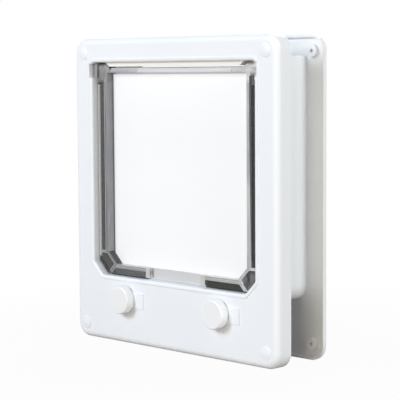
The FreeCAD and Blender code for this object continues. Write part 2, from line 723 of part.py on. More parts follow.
def lock_retainer_right(knob_x, bolt_y):
    """Bracket in front of the back bolt: a slot lets the cam pin through and two ribs guide the blade."""
    x = knob_x + BOLT_OFFSET
    bridge_back = bolt_y - BOLT_CLEARANCE
    bridge_front = bridge_back - RETAINER_WALL
    bracket = retainer_bridge(x, bridge_front, bridge_back)
    parts = retainer_feet(x, bridge_front)
    reach = BOLT_HALF + BOLT_CLEARANCE
    for side in (-1, 1):
        ends = sorted((x + side * reach, x + side * (reach + RETAINER_RIB)))
        parts.append(box(ends[0], ends[1], bridge_back, bolt_y + BOLT_THICKNESS, CAM_Z - BOLT_FOOT,
                         KNOB_Z + SLIDE_ABOVE))
    half = CAM_PIN_R + BOLT_CLEARANCE
    slot = box(x - half, x + half, bridge_front, bridge_back, CAM_Z - half, CAM_Z + BOLT_LIFT + half)
    screw_x, screw_z = retainer_screw_place(knob_x)
    hole = y_rod(SMALL_SCREW_R, screw_x, screw_z, FACE_WALL, bridge_back)
    return bracket.fuse(parts).cut([slot, hole])


def small_screw(x, z, head_y, length):
    head = y_rod(SMALL_HEAD_R, x, z, head_y, head_y + SMALL_HEAD_HEIGHT)
    return head.fuse(y_rod(SMALL_SCREW_R, x, z, head_y - length, head_y))


def lock_pieces():
    nodes = {}
    for side, knob_x in KNOB_X.items():
        nodes["lock_knob_" + side] = lock_knob(knob_x)
        nodes["lock_slide_" + side] = lock_slide(knob_x)
        nodes["lock_bolt_" + side] = lock_bolt(knob_x, BOLT_Y[side])
        nodes["knob_screw_" + side] = small_screw(knob_x, KNOB_Z, SLIDE_BACK, SMALL_SCREW_LENGTH)
    nodes["lock_retainer_left"] = lock_retainer_left(KNOB_X["left"])
    nodes["lock_retainer_right"] = lock_retainer_right(KNOB_X["right"], BACK_BOLT_Y)
    heads = {
        "left": SLIDE_BACK + SLIDE_CLEARANCE + RETAINER_WALL,
        "right": BACK_BOLT_Y - BOLT_CLEARANCE,
    }
    for side, knob_x in KNOB_X.items():
        x, z = retainer_screw_place(knob_x)
        length = heads[side] - FACE_WALL
        nodes["retainer_screw_" + side] = small_screw(x, z, heads[side], length)
    return nodes


def all_nodes():
    nodes = {
        "front_frame": front_frame(),
        "back_frame": back_frame(),
        "flap_pane": flap_pane(),
        "magnet_holder": magnet_holder(),
        "flap_magnet": flap_magnet(),
        "sill_magnet": sill_magnet(),
        "sill_magnet_cover": sill_magnet_cover(),
        "hinge_cover": hinge_cover(),
    }
    for side, sign in (("left", -1), ("right", 1)):
        nodes["hinge_bearing_" + side] = hinge_bearing(sign)
        nodes["hinge_pin_" + side] = hinge_pin(sign)
    for side, sign in (("left", -1), ("right", 1)):
        for place, outline in channel_outlines().items():
            nodes["brush_" + place + side] = brush_strip(outline, sign)
        for level, z in (("bottom", SCREW_Z[0]), ("top", SCREW_Z[1])):
            nodes["screw_cap_" + level + "_" + side] = screw_cap(sign * SCREW_X, z)
    nodes.update(lock_pieces())
    return nodes


os.makedirs("parts", exist_ok=True)
for name, shape in all_nodes().items():
    placed = shape.copy()
    placed.translate(Vector(0, -MIDDLE_Y, 0))
    if not placed.isValid():
        print("not valid:", name)
    if len(placed.Solids) != 1:
        print("solids in", name, len(placed.Solids))
    placed.exportStep("parts/" + name + ".step")
    limits = placed.BoundBox
    print(name, round(placed.Volume, 1), [round(v, 2) for v in (
        limits.XMin, limits.XMax, limits.YMin, limits.YMax, limits.ZMin, limits.ZMax)])
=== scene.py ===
import json
import math

import bpy
from mathutils import Matrix, Vector

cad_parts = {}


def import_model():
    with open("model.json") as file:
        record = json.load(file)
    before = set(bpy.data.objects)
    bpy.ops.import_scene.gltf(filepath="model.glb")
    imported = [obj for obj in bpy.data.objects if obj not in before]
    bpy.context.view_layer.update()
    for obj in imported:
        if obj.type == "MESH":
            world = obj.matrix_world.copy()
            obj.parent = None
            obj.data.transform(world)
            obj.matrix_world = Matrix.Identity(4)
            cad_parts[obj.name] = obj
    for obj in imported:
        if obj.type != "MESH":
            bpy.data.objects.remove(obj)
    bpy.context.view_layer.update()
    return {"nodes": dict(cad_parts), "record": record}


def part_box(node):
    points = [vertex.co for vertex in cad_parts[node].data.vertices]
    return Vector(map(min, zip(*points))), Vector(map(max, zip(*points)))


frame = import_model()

NODES = frame["nodes"]
MM = 1000.0
HALF_ROOT = math.sqrt(0.5)
WHITE = (1.0, 1.0, 1.0)

# Camera, fitted to straight edges of the photograph, in metres and degrees
CAMERA_PLACE = Vector((0.8190, -0.8132, 0.2214))
CAMERA_YAW = 44.863
CAMERA_PITCH = 5.023
CAMERA_ROLL = 0.353
CAMERA_LENS = 130.02
CAMERA_SENSOR = 36.0
CAMERA_NEAR = 0.05
CAMERA_FAR = 60.0

# Lamps: a cool one from the front left, a warm one from the front right, nearly plain ones elsewhere
KEY_POWER = 47.0
FILL_POWER = 15.3
SIDE_POWER = 15.4
HIGH_SIDE_POWER = 13.6
BACK_POWER = 40.0
KEY_TINT = (0.855, 0.92, 1.0)
FILL_TINT = (1.0, 0.875, 0.71)
SIDE_TINT = (0.955, 0.995, 1.0)
LAMP_TARGET = (0.0, 0.0, 0.12)
LARGE_LAMP = 1.2
SMALL_LAMP = 1.0

# Surroundings: a faint world, and a floor that is seen nearly white near the object
WORLD_LEVEL = 0.15
WORLD_TINT = (0.96, 0.98, 1.0)
FLOOR_SIZE = 12.0
FLOOR_DROP = 0.0002
FLOOR_COLOUR = (0.45, 0.40, 0.35)
FLOOR_NEAR = 0.10
FLOOR_FAR = 0.42
FLOOR_NEAR_WHITE = 0.96

# Colours of the opaque pieces: one colour, or the dark and the light one of a pattern
FRAME_COLOUR = (0.885, 0.917, 0.965)
# The back frame is the same white plastic as the front: its less blue copy is a painted shade tint.
BACK_SHADE_COLOUR = (0.885, 0.905, 0.925)
KNOB_COLOUR = (0.905, 0.92, 0.945)
COVER_COLOUR = (0.88, 0.88, 0.84)
HOLDER_COLOUR = (0.62, 0.625, 0.63)
PILE_COLOURS = ((0.012, 0.014, 0.011), (0.046, 0.050, 0.043))
STEEL_COLOURS = ((0.52, 0.53, 0.55), (0.68, 0.69, 0.71))
MAGNET_COLOURS = ((0.13, 0.13, 0.135), (0.22, 0.22, 0.225))

# Roughness of the opaque pieces
FRAME_ROUGHNESS = 0.38
BACK_ROUGHNESS = 0.40
KNOB_ROUGHNESS = 0.30
COVER_ROUGHNESS = 0.42
HOLDER_ROUGHNESS = 0.40
PILE_ROUGHNESS = 0.9
MAGNET_ROUGHNESS = 0.6
FLOOR_ROUGHNESS = 0.9

# White plastic: flow marks in the colour, a fine grain and uneven gloss
WHITE_PLASTIC_IOR = 1.46
FLOW_SCALE = 14.0
FLOW_STRETCH = (1.0, 1.0, 0.45)
FLOW_SHADE = 0.985
GRAIN_SCALE = 1900.0
GRAIN_STRENGTH = 0.12
GRAIN_HEIGHT = 0.00004
GLOSS_SPREAD = 0.05

# Clear plastic: its gloss, how much it hides, and its streaks, stretched along x or z or slanted
CLEAR_PLASTIC_IOR = 1.49
CLEAR_GLOSS = (0.06, 0.14)
BEARING_GLOSS = (0.12, 0.22)
BAR_OPACITY = 0.92
EDGE_OPACITY = 0.85
WINDOW_OPACITY = 0.94
# The walls over the pile hide more of it on the left, which paints the left pile lighter: painted light.
VEIL_LEFT = 0.15
VEIL_RIGHT = 0.03
VEIL_CORNER = 0.19
SHADOW_LOSS = 0.75
SMEAR_SCALE = 60.0
STREAK_SCALE = 130.0
WEB_STREAK_SCALE = 240.0
ALONG_X = (0.12, 1.0, 3.0)
ALONG_Z = (2.5, 1.0, 0.25)
EAR_LEFT_STRETCH = (2.4, 1.0, 0.7)
EAR_LEFT_TURN = (0.0, 0.7, 0.0)
EAR_RIGHT_STRETCH = (0.5, 1.0, 2.4)
GLINT_STRETCH = (1.6, 1.0, 0.5)
GLINT_TURN = (0.0, 0.785, 0.0)
WEB_STREAK_STRETCH = (1.0, 1.6, 0.5)
NO_TURN = (0.0, 0.0, 0.0)

# Pile, steel and magnets: their patterns
STRAND_SCALE = 420.0
STRAND_STRETCH = (6.0, 1.0, 6.0)
TUFT_SCALE = 90.0
PILE_SHEEN = 0.08
DRAWN_SCALE = 900.0
DRAWN_STRETCH = (0.05, 1.0, 1.0)
STEEL_GLOSS = (0.22, 0.38)
GRIT_SCALE = 1500.0

# Greys of the clear plastic, painted for light, shade and refraction: one colour, or the dark and the
# light one of its streaks
# Painted light and shade: left greys are darker than the right ones of the same plastic, and faces turned
# sideways get a grey of their own.
BAR_LEFT = ((0.24, 0.24, 0.26), (0.31, 0.31, 0.33))
BAR_RIGHT = ((0.44, 0.44, 0.45), (0.60, 0.60, 0.61))
INNER_WALL = ((0.30, 0.30, 0.325), (0.36, 0.36, 0.385))
FOOT_LEFT = ((0.34, 0.34, 0.35), (0.50, 0.50, 0.50))
FOOT_RIGHT = ((0.44, 0.44, 0.45), (0.62, 0.62, 0.62))
# Painted dark refraction line along the foot.
FOOT_EDGE = (0.27, 0.27, 0.28)
# Painted refraction streaks on the web's sideways faces, and a flat painted pale grey on its front.
WEB_STREAKS = ((0.16, 0.16, 0.16), (0.66, 0.66, 0.65))
WEB_FACE = (0.62, 0.62, 0.61)
# Painted band: refraction tones, a dark line, a darker line low down, and a paler upper part painted
# against the cover's shade.
BAND_START = (0.37, 0.37, 0.43)
BAND_GREYS = ((0.45, 0.45, 0.50), (0.62, 0.62, 0.66), (0.50, 0.505, 0.53))
BAND_DARK_LINE = (0.30, 0.31, 0.33)
BAND_EDGE = (0.44, 0.44, 0.48)
BAND_UPPER = (0.88, 0.88, 0.92)
# Painted light and shade: the same ears and bearings are darker on the left than on the right.
EAR_LEFT = ((0.22, 0.22, 0.23), (0.36, 0.36, 0.37))
EAR_RIGHT = ((0.42, 0.42, 0.43), (0.70, 0.70, 0.71))
CORNER_GLINTS = ((0.02, 0.022, 0.025), (0.66, 0.68, 0.71))
# Painted dark refraction line, and painted highlight lines, paler on the right.
DARK_LINE = (0.13, 0.13, 0.13)
LIGHT_LINE_LEFT = (0.46, 0.46, 0.46)
LIGHT_LINE_RIGHT = (0.66, 0.66, 0.67)
# Painted highlight on the flap's outer edge on the left.
EDGE_LINE = (0.55, 0.56, 0.55)
# Painted refraction: the slanted corner walls are painted dark for the pile seen through them.
SLANT_DARK = (0.055, 0.057, 0.058)
LEFT_CORNER_DARK = (0.075, 0.077, 0.08)
# Painted shade at the channel ends.
CHANNEL_END_DARK = (0.045, 0.046, 0.044)
# Painted refraction of the pile in the right-hand channel's inner wall.
CHANNEL_WALL_DARK = (0.05, 0.052, 0.05)
# Painted light: the window is palest near the bars, where their shadow falls; a painted dark refraction
# line runs along the left bar.
WINDOW_RIM = (0.98, 0.985, 0.995)
WINDOW_MIDDLE = (0.95, 0.96, 0.98)
WINDOW_DARK = (0.17, 0.17, 0.175)

# Places on the flap in millimetres: distances from its middle, and heights
WINDOW_HALF = 78.6
WINDOW_LOW = 63.9
WINDOW_HIGH = 222.2
WINDOW_FRONT = -13.0
WINDOW_SLANT = 10.0
WINDOW_FADE = 14.0
WINDOW_DARK_START = WINDOW_HALF - 1.2
BAND_LOW = WINDOW_HIGH - 1.4
BAND_EDGE_HEIGHT = WINDOW_HIGH - 0.9
BAND_CHANGES = (-52.6, -41.6, 63.3)
# Above this height the band is painted paler to offset the shade under the cover: painted light.
BAND_SHADED = 225.2
EAR_INNER = 74.4
EAR_LOW = 214.0
FOOT_END = 70.0
FOOT_TOP = WINDOW_LOW + 0.5
FOOT_EDGE_HEIGHT = WINDOW_LOW - 0.5
WEB_END = 33.7
EDGE_LINE_WIDTH = 1.3
EAR_SHADOW = EAR_LOW - 0.2
DARK_LINE_PLACE = -1.25
LIGHT_LINE_PLACE = -0.35
LINE_HALF = 0.35
LEFT_CHANNEL_TOP = 213.6
RIGHT_CHANNEL_TOP = 219.0
CHANNEL_END_FADE = 3.0
PILE_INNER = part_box("brush_right")[0][0] * MM
PILE_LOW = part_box("brush_right")[0][2] * MM
PILE_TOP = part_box("brush_right")[1][2] * MM
FLAP_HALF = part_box("flap_pane")[1][0] * MM
PILE_SHOWN_FROM = PILE_LOW + 10.0
PILE_SHOWN_TO = PILE_LOW + 110.0
FLAP_CHAMFER_REACH = 17.0
SLANT_WALL = 3.2

# Directions of a face, as the size of its normal's share along x, or along x and z
SIDEWAYS = 0.85
SLANTED = 0.40
FRONT_OR_BACK = 0.5

# Outlines as half-planes, each with its direction in x and z and its reach in millimetres
WINDOW_WALLS = (
    (1.0, 0.0, WINDOW_HALF),
    (0.0, -1.0, -WINDOW_LOW),
    (0.0, 1.0, BAND_LOW),
    (HALF_ROOT, -HALF_ROOT, HALF_ROOT * (WINDOW_HALF - WINDOW_LOW - WINDOW_SLANT)),
)
FLAP_EDGE_WALLS = (
    (1.0, 0.0, FLAP_HALF),
    (HALF_ROOT, -HALF_ROOT, FLAP_CHAMFER_REACH),
)


def node_material(name):
    material = bpy.data.materials.new(name)
    material.use_nodes = True
    tree = material.node_tree
    return material, tree, tree.nodes["Principled BSDF"]


def add(tree, kind, **settings):
    node = tree.nodes.new(kind)
    for key, value in settings.items():
        setattr(node, key, value)
    return node


def feed(tree, value, socket):
    """Link a socket's value, or set a plain colour or number."""
    if isinstance(value, bpy.types.NodeSocket):
        tree.links.new(value, socket)
    elif isinstance(value, tuple):
        socket.default_value = (*value, 1.0)
    else:
        socket.default_value = value


def calculate(tree, operation, first, second=None):
    """Result of one sum or comparison of sockets or plain numbers."""
    node = add(tree, "ShaderNodeMath", operation=operation)
    feed(tree, first, node.inputs[0])
    if second is not None:
        feed(tree, second, node.inputs[1])
    return node.outputs["Value"]


def both(tree, first, second):
    return calculate(tree, "MULTIPLY", first, second)


def opposite(tree, share):
    return calculate(tree, "SUBTRACT", 1.0, share)


def noise(tree, scale, detail=3.0, stretch=None, turn=NO_TURN):
    """Noise in the piece's own coordinates, stretched along the axes and turned if asked."""
    texture = add(tree, "ShaderNodeTexNoise")
    texture.inputs["Scale"].default_value = scale
    texture.inputs["Detail"].default_value = detail
    source = add(tree, "ShaderNodeTexCoord").outputs["Object"]
    if stretch:
        mapping = add(tree, "ShaderNodeMapping")
        mapping.inputs["Scale"].default_value = stretch
        mapping.inputs["Rotation"].default_value = turn
        tree.links.new(source, mapping.inputs["Vector"])
        source = mapping.outputs["Vector"]
    tree.links.new(source, texture.inputs["Vector"])
    return texture.outputs["Fac"]


def ramp(tree, source, colours, start=0.35, end=0.65):
    """From the first colour at start to the second one at end."""
    node = add(tree, "ShaderNodeValToRGB")
    for element, place, colour in zip(node.color_ramp.elements, (start, end), colours):
        element.position = place
        element.color = (*colour, 1.0)
    tree.links.new(source, node.inputs["Fac"])
    return node.outputs["Color"]


def spread(tree, source, low, high, start=0.0, end=1.0):
    """From low where the source is start to high where it is end."""
    node = add(tree, "ShaderNodeMapRange")
    node.inputs["From Min"].default_value = start
    node.inputs["From Max"].default_value = end
    node.inputs["To Min"].default_value = low
    node.inputs["To Max"].default_value = high
    tree.links.new(source, node.inputs["Value"])
    return node.outputs["Result"]


def above(tree, source, level, soft=0.1):
    """1 above a level and 0 below it, with a soft edge."""
    return spread(tree, source, 0.0, 1.0, level - soft, level + soft)


def below(tree, source, level, soft=0.1):
    """1 below a level and 0 above it, with a soft edge."""
    return spread(tree, source, 0.0, 1.0, level + soft, level - soft)


def line_at(tree, distance, centre, half_width):
    """1 on a thin line at a distance, 0 off it."""
    away = calculate(tree, "ABSOLUTE", calculate(tree, "SUBTRACT", distance, centre))
    return below(tree, away, half_width)


def mix_colours(tree, share, first, second):
    node = add(tree, "ShaderNodeMix", data_type="RGBA")
    feed(tree, share, node.inputs["Factor"])
    feed(tree, first, node.inputs[6])
    feed(tree, second, node.inputs[7])
    return node.outputs[2]


def mix_values(tree, share, first, second):
    node = add(tree, "ShaderNodeMix", data_type="FLOAT")
    feed(tree, share, node.inputs["Factor"])
    feed(tree, first, node.inputs[2])
    feed(tree, second, node.inputs[3])
    return node.outputs[0]


def mix_shaders(tree, share, first, second, output):
    """Mix two shaders into the surface of a material or a world."""
    node = add(tree, "ShaderNodeMixShader")
    feed(tree, share, node.inputs["Fac"])
    tree.links.new(first, node.inputs[1])
    tree.links.new(second, node.inputs[2])
    tree.links.new(node.outputs["Shader"], tree.nodes[output].inputs["Surface"])


def seen_by(tree, *rays):
    """1 for the named kinds of ray, 0 for all others."""
    path = add(tree, "ShaderNodeLightPath")
    seen = path.outputs[rays[0]]
    for ray in rays[1:]:
        seen = calculate(tree, "MAXIMUM", seen, path.outputs[ray])
    return seen


def gloss(tree, shader, source, limits):
    """Roughness that varies with the source."""
    tree.links.new(spread(tree, source, *limits), shader.inputs["Roughness"])


def bump(tree, shader, source, strength, height):
    node = add(tree, "ShaderNodeBump")
    node.inputs["Strength"].default_value = strength
    node.inputs["Distance"].default_value = height
    tree.links.new(source, node.inputs["Height"])
    tree.links.new(node.outputs["Normal"], shader.inputs["Normal"])


def moulded(name, colour, roughness):
    """Moulded plastic: faint flow marks in the colour, a fine grain and uneven gloss."""
    material, tree, shader = node_material(name)
    flow = noise(tree, FLOW_SCALE, detail=4.0, stretch=FLOW_STRETCH)
    shaded = tuple(channel * FLOW_SHADE for channel in colour)
    tree.links.new(ramp(tree, flow, (shaded, colour)), shader.inputs["Base Color"])
    gloss(tree, shader, flow, (roughness - GLOSS_SPREAD, roughness + GLOSS_SPREAD))
    bump(tree, shader, noise(tree, GRAIN_SCALE, detail=2.0), GRAIN_STRENGTH, GRAIN_HEIGHT)
    shader.inputs["IOR"].default_value = WHITE_PLASTIC_IOR
    return material


def millimetres(tree):
    """The piece's own coordinates in millimetres, by the names X, Y and Z."""
    scaled = add(tree, "ShaderNodeVectorMath", operation="SCALE")
    scaled.inputs["Scale"].default_value = MM
    tree.links.new(add(tree, "ShaderNodeTexCoord").outputs["Object"], scaled.inputs[0])
    axes = add(tree, "ShaderNodeSeparateXYZ")
    tree.links.new(scaled.outputs["Vector"], axes.inputs["Vector"])
    return axes.outputs


def right_half(tree, x):
    """0 on the left and 1 on the right."""
    return above(tree, x, 0.0, 1.0)


class FlapPlace:
    """A place on the flap: millimetres across, deep and up, and shares from 0 to 1."""

    def __init__(self, tree):
        axes = millimetres(tree)
        self.x = axes["X"]
        self.depth = axes["Y"]
        self.up = axes["Z"]
        self.across = calculate(tree, "ABSOLUTE", self.x)
        self.right = right_half(tree, self.x)
        self.left = opposite(tree, self.right)
        # Masks of faces turned sideways and of slanted faces, which get painted light and shade below.
        facing = add(tree, "ShaderNodeSeparateXYZ")
        tree.links.new(add(tree, "ShaderNodeTexCoord").outputs["Normal"], facing.inputs["Vector"])
        turned = calculate(tree, "ABSOLUTE", facing.outputs["X"])
        self.sideways = above(tree, turned, SIDEWAYS, 0.05)
        self.slanted = above(tree, both(tree, turned, facing.outputs["Z"]), SLANTED, 0.05)


def outline_walls(node_name):
    """Walls of a strip on the right-hand side as half-planes."""
    walls = set()
    for face in NODES[node_name].data.polygons:
        if abs(face.normal.y) < FRONT_OR_BACK:
            reach = face.normal.dot(face.center) * MM
            walls.add((round(face.normal.x, 3), round(face.normal.z, 3), round(reach, 1)))
    return sorted(walls)


def depth_inside(tree, at, walls):
    """How far a place lies inside a convex outline, in millimetres; negative outside it."""
    depth = None
    for x, z, reach in walls:
        share = calculate(tree, "MULTIPLY", at.across, x)
        height = calculate(tree, "MULTIPLY", at.up, z)
        gap = calculate(tree, "SUBTRACT", reach, calculate(tree, "ADD", share, height))
        depth = gap if depth is None else calculate(tree, "MINIMUM", depth, gap)
    return depth


def streaked(tree, colours, stretch, turn=NO_TURN, scale=STREAK_SCALE):
    """Two greys in streaks, as light bends in thick clear plastic."""
    return ramp(tree, noise(tree, scale, stretch=stretch, turn=turn), colours, 0.4, 0.6)


def streaked_halves(tree, at, left, right, stretch):
    # Painted light and shade: one grey pair on the left, a paler one on the right.
    return mix_colours(tree, at.right, streaked(tree, left, stretch), streaked(tree, right, stretch))


def hinge_greys(tree, right):
    """Painted refraction streaks, slanted: mid grey on the left and paler on the right, as painted light
    and shade.
    """
    left_greys = streaked(tree, EAR_LEFT, EAR_LEFT_STRETCH, turn=EAR_LEFT_TURN)
    return mix_colours(tree, right, left_greys, streaked(tree, EAR_RIGHT, EAR_RIGHT_STRETCH))


def band_colours(tree, at):
    """The band over the window, painted for the light and refraction in it: bluish on the left, then
    paler, with a dark line near its right end, a darker line low down, its upper part painted paler
    against the cover's shade, and painted white highlight streaks.
    """
    colour = BAND_START
    for place, grey in zip(BAND_CHANGES, BAND_GREYS):
        colour = mix_colours(tree, above(tree, at.x, place, 0.8), colour, grey)
    colour = mix_colours(tree, line_at(tree, at.x, BAND_CHANGES[-1], 0.6), colour, BAND_DARK_LINE)
    colour = mix_colours(tree, line_at(tree, at.up, BAND_EDGE_HEIGHT, 0.4), colour, BAND_EDGE)
    colour = mix_colours(tree, above(tree, at.up, BAND_SHADED, 0.4), colour, BAND_UPPER)
    # Painted white highlight streaks.
    streaks = noise(tree, STREAK_SCALE, stretch=ALONG_X)
    return mix_colours(tree, spread(tree, streaks, 0.0, 1.0, 0.35, 1.4), colour, WHITE)


def bar_colours(tree, at):
    """Painted greys of the flap's thick bars, each region with its own: painted light and shade, darker on
    the left than on the right.
    """
    bars = streaked_halves(tree, at, BAR_LEFT, BAR_RIGHT, ALONG_Z)
    # Painted light and shade: faces turned sideways get a grey of their own.
    bars = mix_colours(tree, at.sideways, bars, streaked(tree, INNER_WALL, ALONG_Z))
    foot = both(tree, below(tree, at.up, FOOT_TOP), below(tree, at.across, FOOT_END, 0.2))
    foot_greys = streaked_halves(tree, at, FOOT_LEFT, FOOT_RIGHT, ALONG_X)
    # A painted dark refraction line along the foot, just below the window.
    foot_greys = mix_colours(tree, line_at(tree, at.up, FOOT_EDGE_HEIGHT, 0.3), foot_greys, FOOT_EDGE)
    bars = mix_colours(tree, foot, bars, foot_greys)
    web = both(tree, foot, below(tree, at.across, WEB_END))
    # Painted refraction streaks on the web's sideways faces, a flat painted pale grey on its front.
    marks = streaked(tree, WEB_STREAKS, WEB_STREAK_STRETCH, scale=WEB_STREAK_SCALE)
    bars = mix_colours(tree, web, bars, mix_colours(tree, at.sideways, WEB_FACE, marks))
    return mix_colours(tree, above(tree, at.up, BAND_LOW), bars, band_colours(tree, at))


def ear_mask(tree, at):
    """1 on the two hinge ears."""
    past_inner = calculate(tree, "SUBTRACT", at.across, EAR_INNER)
    past_low = calculate(tree, "SUBTRACT", at.up, EAR_LOW)
    return above(tree, calculate(tree, "MINIMUM", past_inner, past_low), 0.0, 0.4)


def channel_lines(tree, colour, at, outer_channel):
    """A painted dark refraction line beside the left channels and a painted highlight line along all of
    them, below the ears.
    """
    face = both(tree, opposite(tree, at.sideways), below(tree, at.up, EAR_SHADOW, 0.2))
    dark = both(tree, line_at(tree, outer_channel, DARK_LINE_PLACE, LINE_HALF), at.left)
    colour = mix_colours(tree, both(tree, dark, face), colour, DARK_LINE)
    light = both(tree, line_at(tree, outer_channel, LIGHT_LINE_PLACE, LINE_HALF), face)
    light_greys = mix_colours(tree, at.right, LIGHT_LINE_LEFT, LIGHT_LINE_RIGHT)
    return mix_colours(tree, light, colour, light_greys)


def edge_mask(tree, at):
    """1 on the flap's outer edge on the left, below the ear, where a highlight is painted."""
    near_edge = below(tree, depth_inside(tree, at, FLAP_EDGE_WALLS), EDGE_LINE_WIDTH)
    return both(tree, both(tree, near_edge, at.left), below(tree, at.up, EAR_SHADOW, 0.2))


def slanted_walls(tree, colour, at):
    """The slanted walls at the lower corners are painted dark for the pile seen through them, a little
    less dark at the outer part on the left: painted refraction.
    """
    colour = mix_colours(tree, at.slanted, colour, SLANT_DARK)
    along = calculate(tree, "MULTIPLY", calculate(tree, "SUBTRACT", at.across, at.up), HALF_ROOT)
    outer = above(tree, along, FLAP_CHAMFER_REACH - SLANT_WALL, 0.2)
    return mix_colours(tree, both(tree, outer, at.left), colour, LEFT_CORNER_DARK)


def pile_in_wall(tree, colour, at):
    """Painted refraction: the inner wall of the right-hand channel is painted dark where the pile shows in
    it, more so higher up.
    """
    shown = spread(tree, at.up, 0.0, 1.0, PILE_SHOWN_FROM, PILE_SHOWN_TO)
    reach = calculate(tree, "SUBTRACT", calculate(tree, "ADD", at.across, shown), PILE_INNER)
    in_wall = both(tree, above(tree, reach, 0.0), below(tree, at.across, PILE_INNER + 1.6, 0.2))
    over_corner = above(tree, at.up, PILE_LOW + 5.5, 0.5)
    column = both(tree, over_corner, below(tree, at.up, RIGHT_CHANNEL_TOP, 0.2))
    dark = both(tree, both(tree, in_wall, at.right), column)
    return mix_colours(tree, dark, colour, CHANNEL_WALL_DARK)


def channel_ends(tree, colour, at):
    """Painted shade at the ends of the side channels over the pile, taller on the right."""
    sides = [wall for wall in outline_walls("brush_right") if wall[1] < 0.9]
    column = above(tree, depth_inside(tree, at, sides), 0.0)
    over_pile = both(tree, column, above(tree, at.up, PILE_TOP))
    top = mix_values(tree, at.right, LEFT_CHANNEL_TOP, RIGHT_CHANNEL_TOP)
    past_top = calculate(tree, "SUBTRACT", at.up, top)
    end = spread(tree, past_top, 0.0, 1.0, CHANNEL_END_FADE, 0.0)
    return mix_colours(tree, both(tree, over_pile, end), colour, CHANNEL_END_DARK)


def window_colours(tree, at, sheet):
    """Milky white, painted palest near the bars to offset their shadow, with a painted dark refraction
    line along the left one.
    """
    fade = spread(tree, sheet, 0.0, 1.0, 0.0, WINDOW_FADE)
    white = mix_colours(tree, fade, WINDOW_RIM, WINDOW_MIDDLE)
    dark = both(tree, above(tree, at.across, WINDOW_DARK_START), at.left)
    return mix_colours(tree, dark, white, WINDOW_DARK)


def opacity(tree, at, over_pile, corner, edge, window):
    """Thin walls over the pile are see-through, more opaque on the left, which paints the pile there
    lighter, and in the right corner, where glints are painted; shadows through the plastic are weak.
    """
    veil = mix_values(tree, at.right, VEIL_LEFT, VEIL_RIGHT)
    veil = mix_values(tree, corner, veil, VEIL_CORNER)
    solid = mix_values(tree, over_pile, BAR_OPACITY, veil)
    solid = mix_values(tree, edge, solid, EDGE_OPACITY)
    solid = mix_values(tree, window, solid, WINDOW_OPACITY)
    lost = calculate(tree, "MULTIPLY", seen_by(tree, "Is Shadow Ray"), SHADOW_LOSS)
    return both(tree, solid, opposite(tree, lost))


def clear_plastic(name):
    """Clear moulding with a milky window: the thick bars are painted grey for the light, shade and
    refraction in them, and thin walls over the pile are see-through.
    """
    material, tree, shader = node_material(name)
    at = FlapPlace(tree)
    side_strip = depth_inside(tree, at, outline_walls("brush_right"))
    corner_strip = depth_inside(tree, at, outline_walls("brush_corner_right"))
    bottom_strip = depth_inside(tree, at, outline_walls("brush_bottom_right"))
    outer_channel = calculate(tree, "MAXIMUM", side_strip, corner_strip)
    over_pile = above(tree, calculate(tree, "MAXIMUM", outer_channel, bottom_strip), 0.0)
    corner = both(tree, above(tree, corner_strip, 0.3, 0.2), at.right)
    edge = edge_mask(tree, at)
    sheet = depth_inside(tree, at, WINDOW_WALLS)
    behind_rim = calculate(tree, "SUBTRACT", at.depth, WINDOW_FRONT - 0.1)
    window = above(tree, calculate(tree, "MINIMUM", sheet, behind_rim), 0.0, 0.05)

    colour = mix_colours(tree, ear_mask(tree, at), bar_colours(tree, at), hinge_greys(tree, at.right))
    colour = channel_lines(tree, colour, at, outer_channel)
    # Painted highlight along the flap's outer edge on the left.
    colour = mix_colours(tree, edge, colour, EDGE_LINE)
    colour = slanted_walls(tree, colour, at)
    glints = streaked(tree, CORNER_GLINTS, GLINT_STRETCH, turn=GLINT_TURN)
    colour = mix_colours(tree, corner, colour, glints)
    colour = pile_in_wall(tree, colour, at)
    colour = channel_ends(tree, colour, at)
    colour = mix_colours(tree, window, colour, window_colours(tree, at, sheet))
    tree.links.new(colour, shader.inputs["Base Color"])
    tree.links.new(opacity(tree, at, over_pile, corner, edge, window), shader.inputs["Alpha"])
    gloss(tree, shader, noise(tree, SMEAR_SCALE, detail=4.0), CLEAR_GLOSS)
    shader.inputs["IOR"].default_value = CLEAR_PLASTIC_IOR
    return material


def bearing(name):
    """Clear grey block, with streaks as light bends in it."""
    material, tree, shader = node_material(name)
    greys = hinge_greys(tree, right_half(tree, millimetres(tree)["X"]))
    tree.links.new(greys, shader.inputs["Base Color"])
    gloss(tree, shader, noise(tree, SMEAR_SCALE, detail=4.0), BEARING_GLOSS)
    shader.inputs["IOR"].default_value = CLEAR_PLASTIC_IOR
    return material


def pile(name):
    """Dense short pile: strands across the strip, dull and a little uneven."""
    material, tree, shader = node_material(name)
    strands = noise(tree, STRAND_SCALE, stretch=STRAND_STRETCH)
    tufts = noise(tree, TUFT_SCALE, detail=2.0)
    tree.links.new(ramp(tree, strands, PILE_COLOURS), shader.inputs["Base Color"])
    shader.inputs["Roughness"].default_value = PILE_ROUGHNESS
    shader.inputs["Specular IOR Level"].default_value = 0.1
    shader.inputs["Sheen Weight"].default_value = PILE_SHEEN
    shader.inputs["Sheen Roughness"].default_value = 0.5
    bump(tree, shader, calculate(tree, "ADD", strands, tufts), 0.8, 0.0004)
    return material


def steel(name):
    """Drawn steel, with fine lines along x."""
    material, tree, shader = node_material(name)
    drawn = noise(tree, DRAWN_SCALE, stretch=DRAWN_STRETCH)
    tree.links.new(ramp(tree, drawn, STEEL_COLOURS), shader.inputs["Base Color"])
    shader.inputs["Metallic"].default_value = 1.0
    gloss(tree, shader, drawn, STEEL_GLOSS)
    bump(tree, shader, drawn, 0.2, 0.00002)
    return material


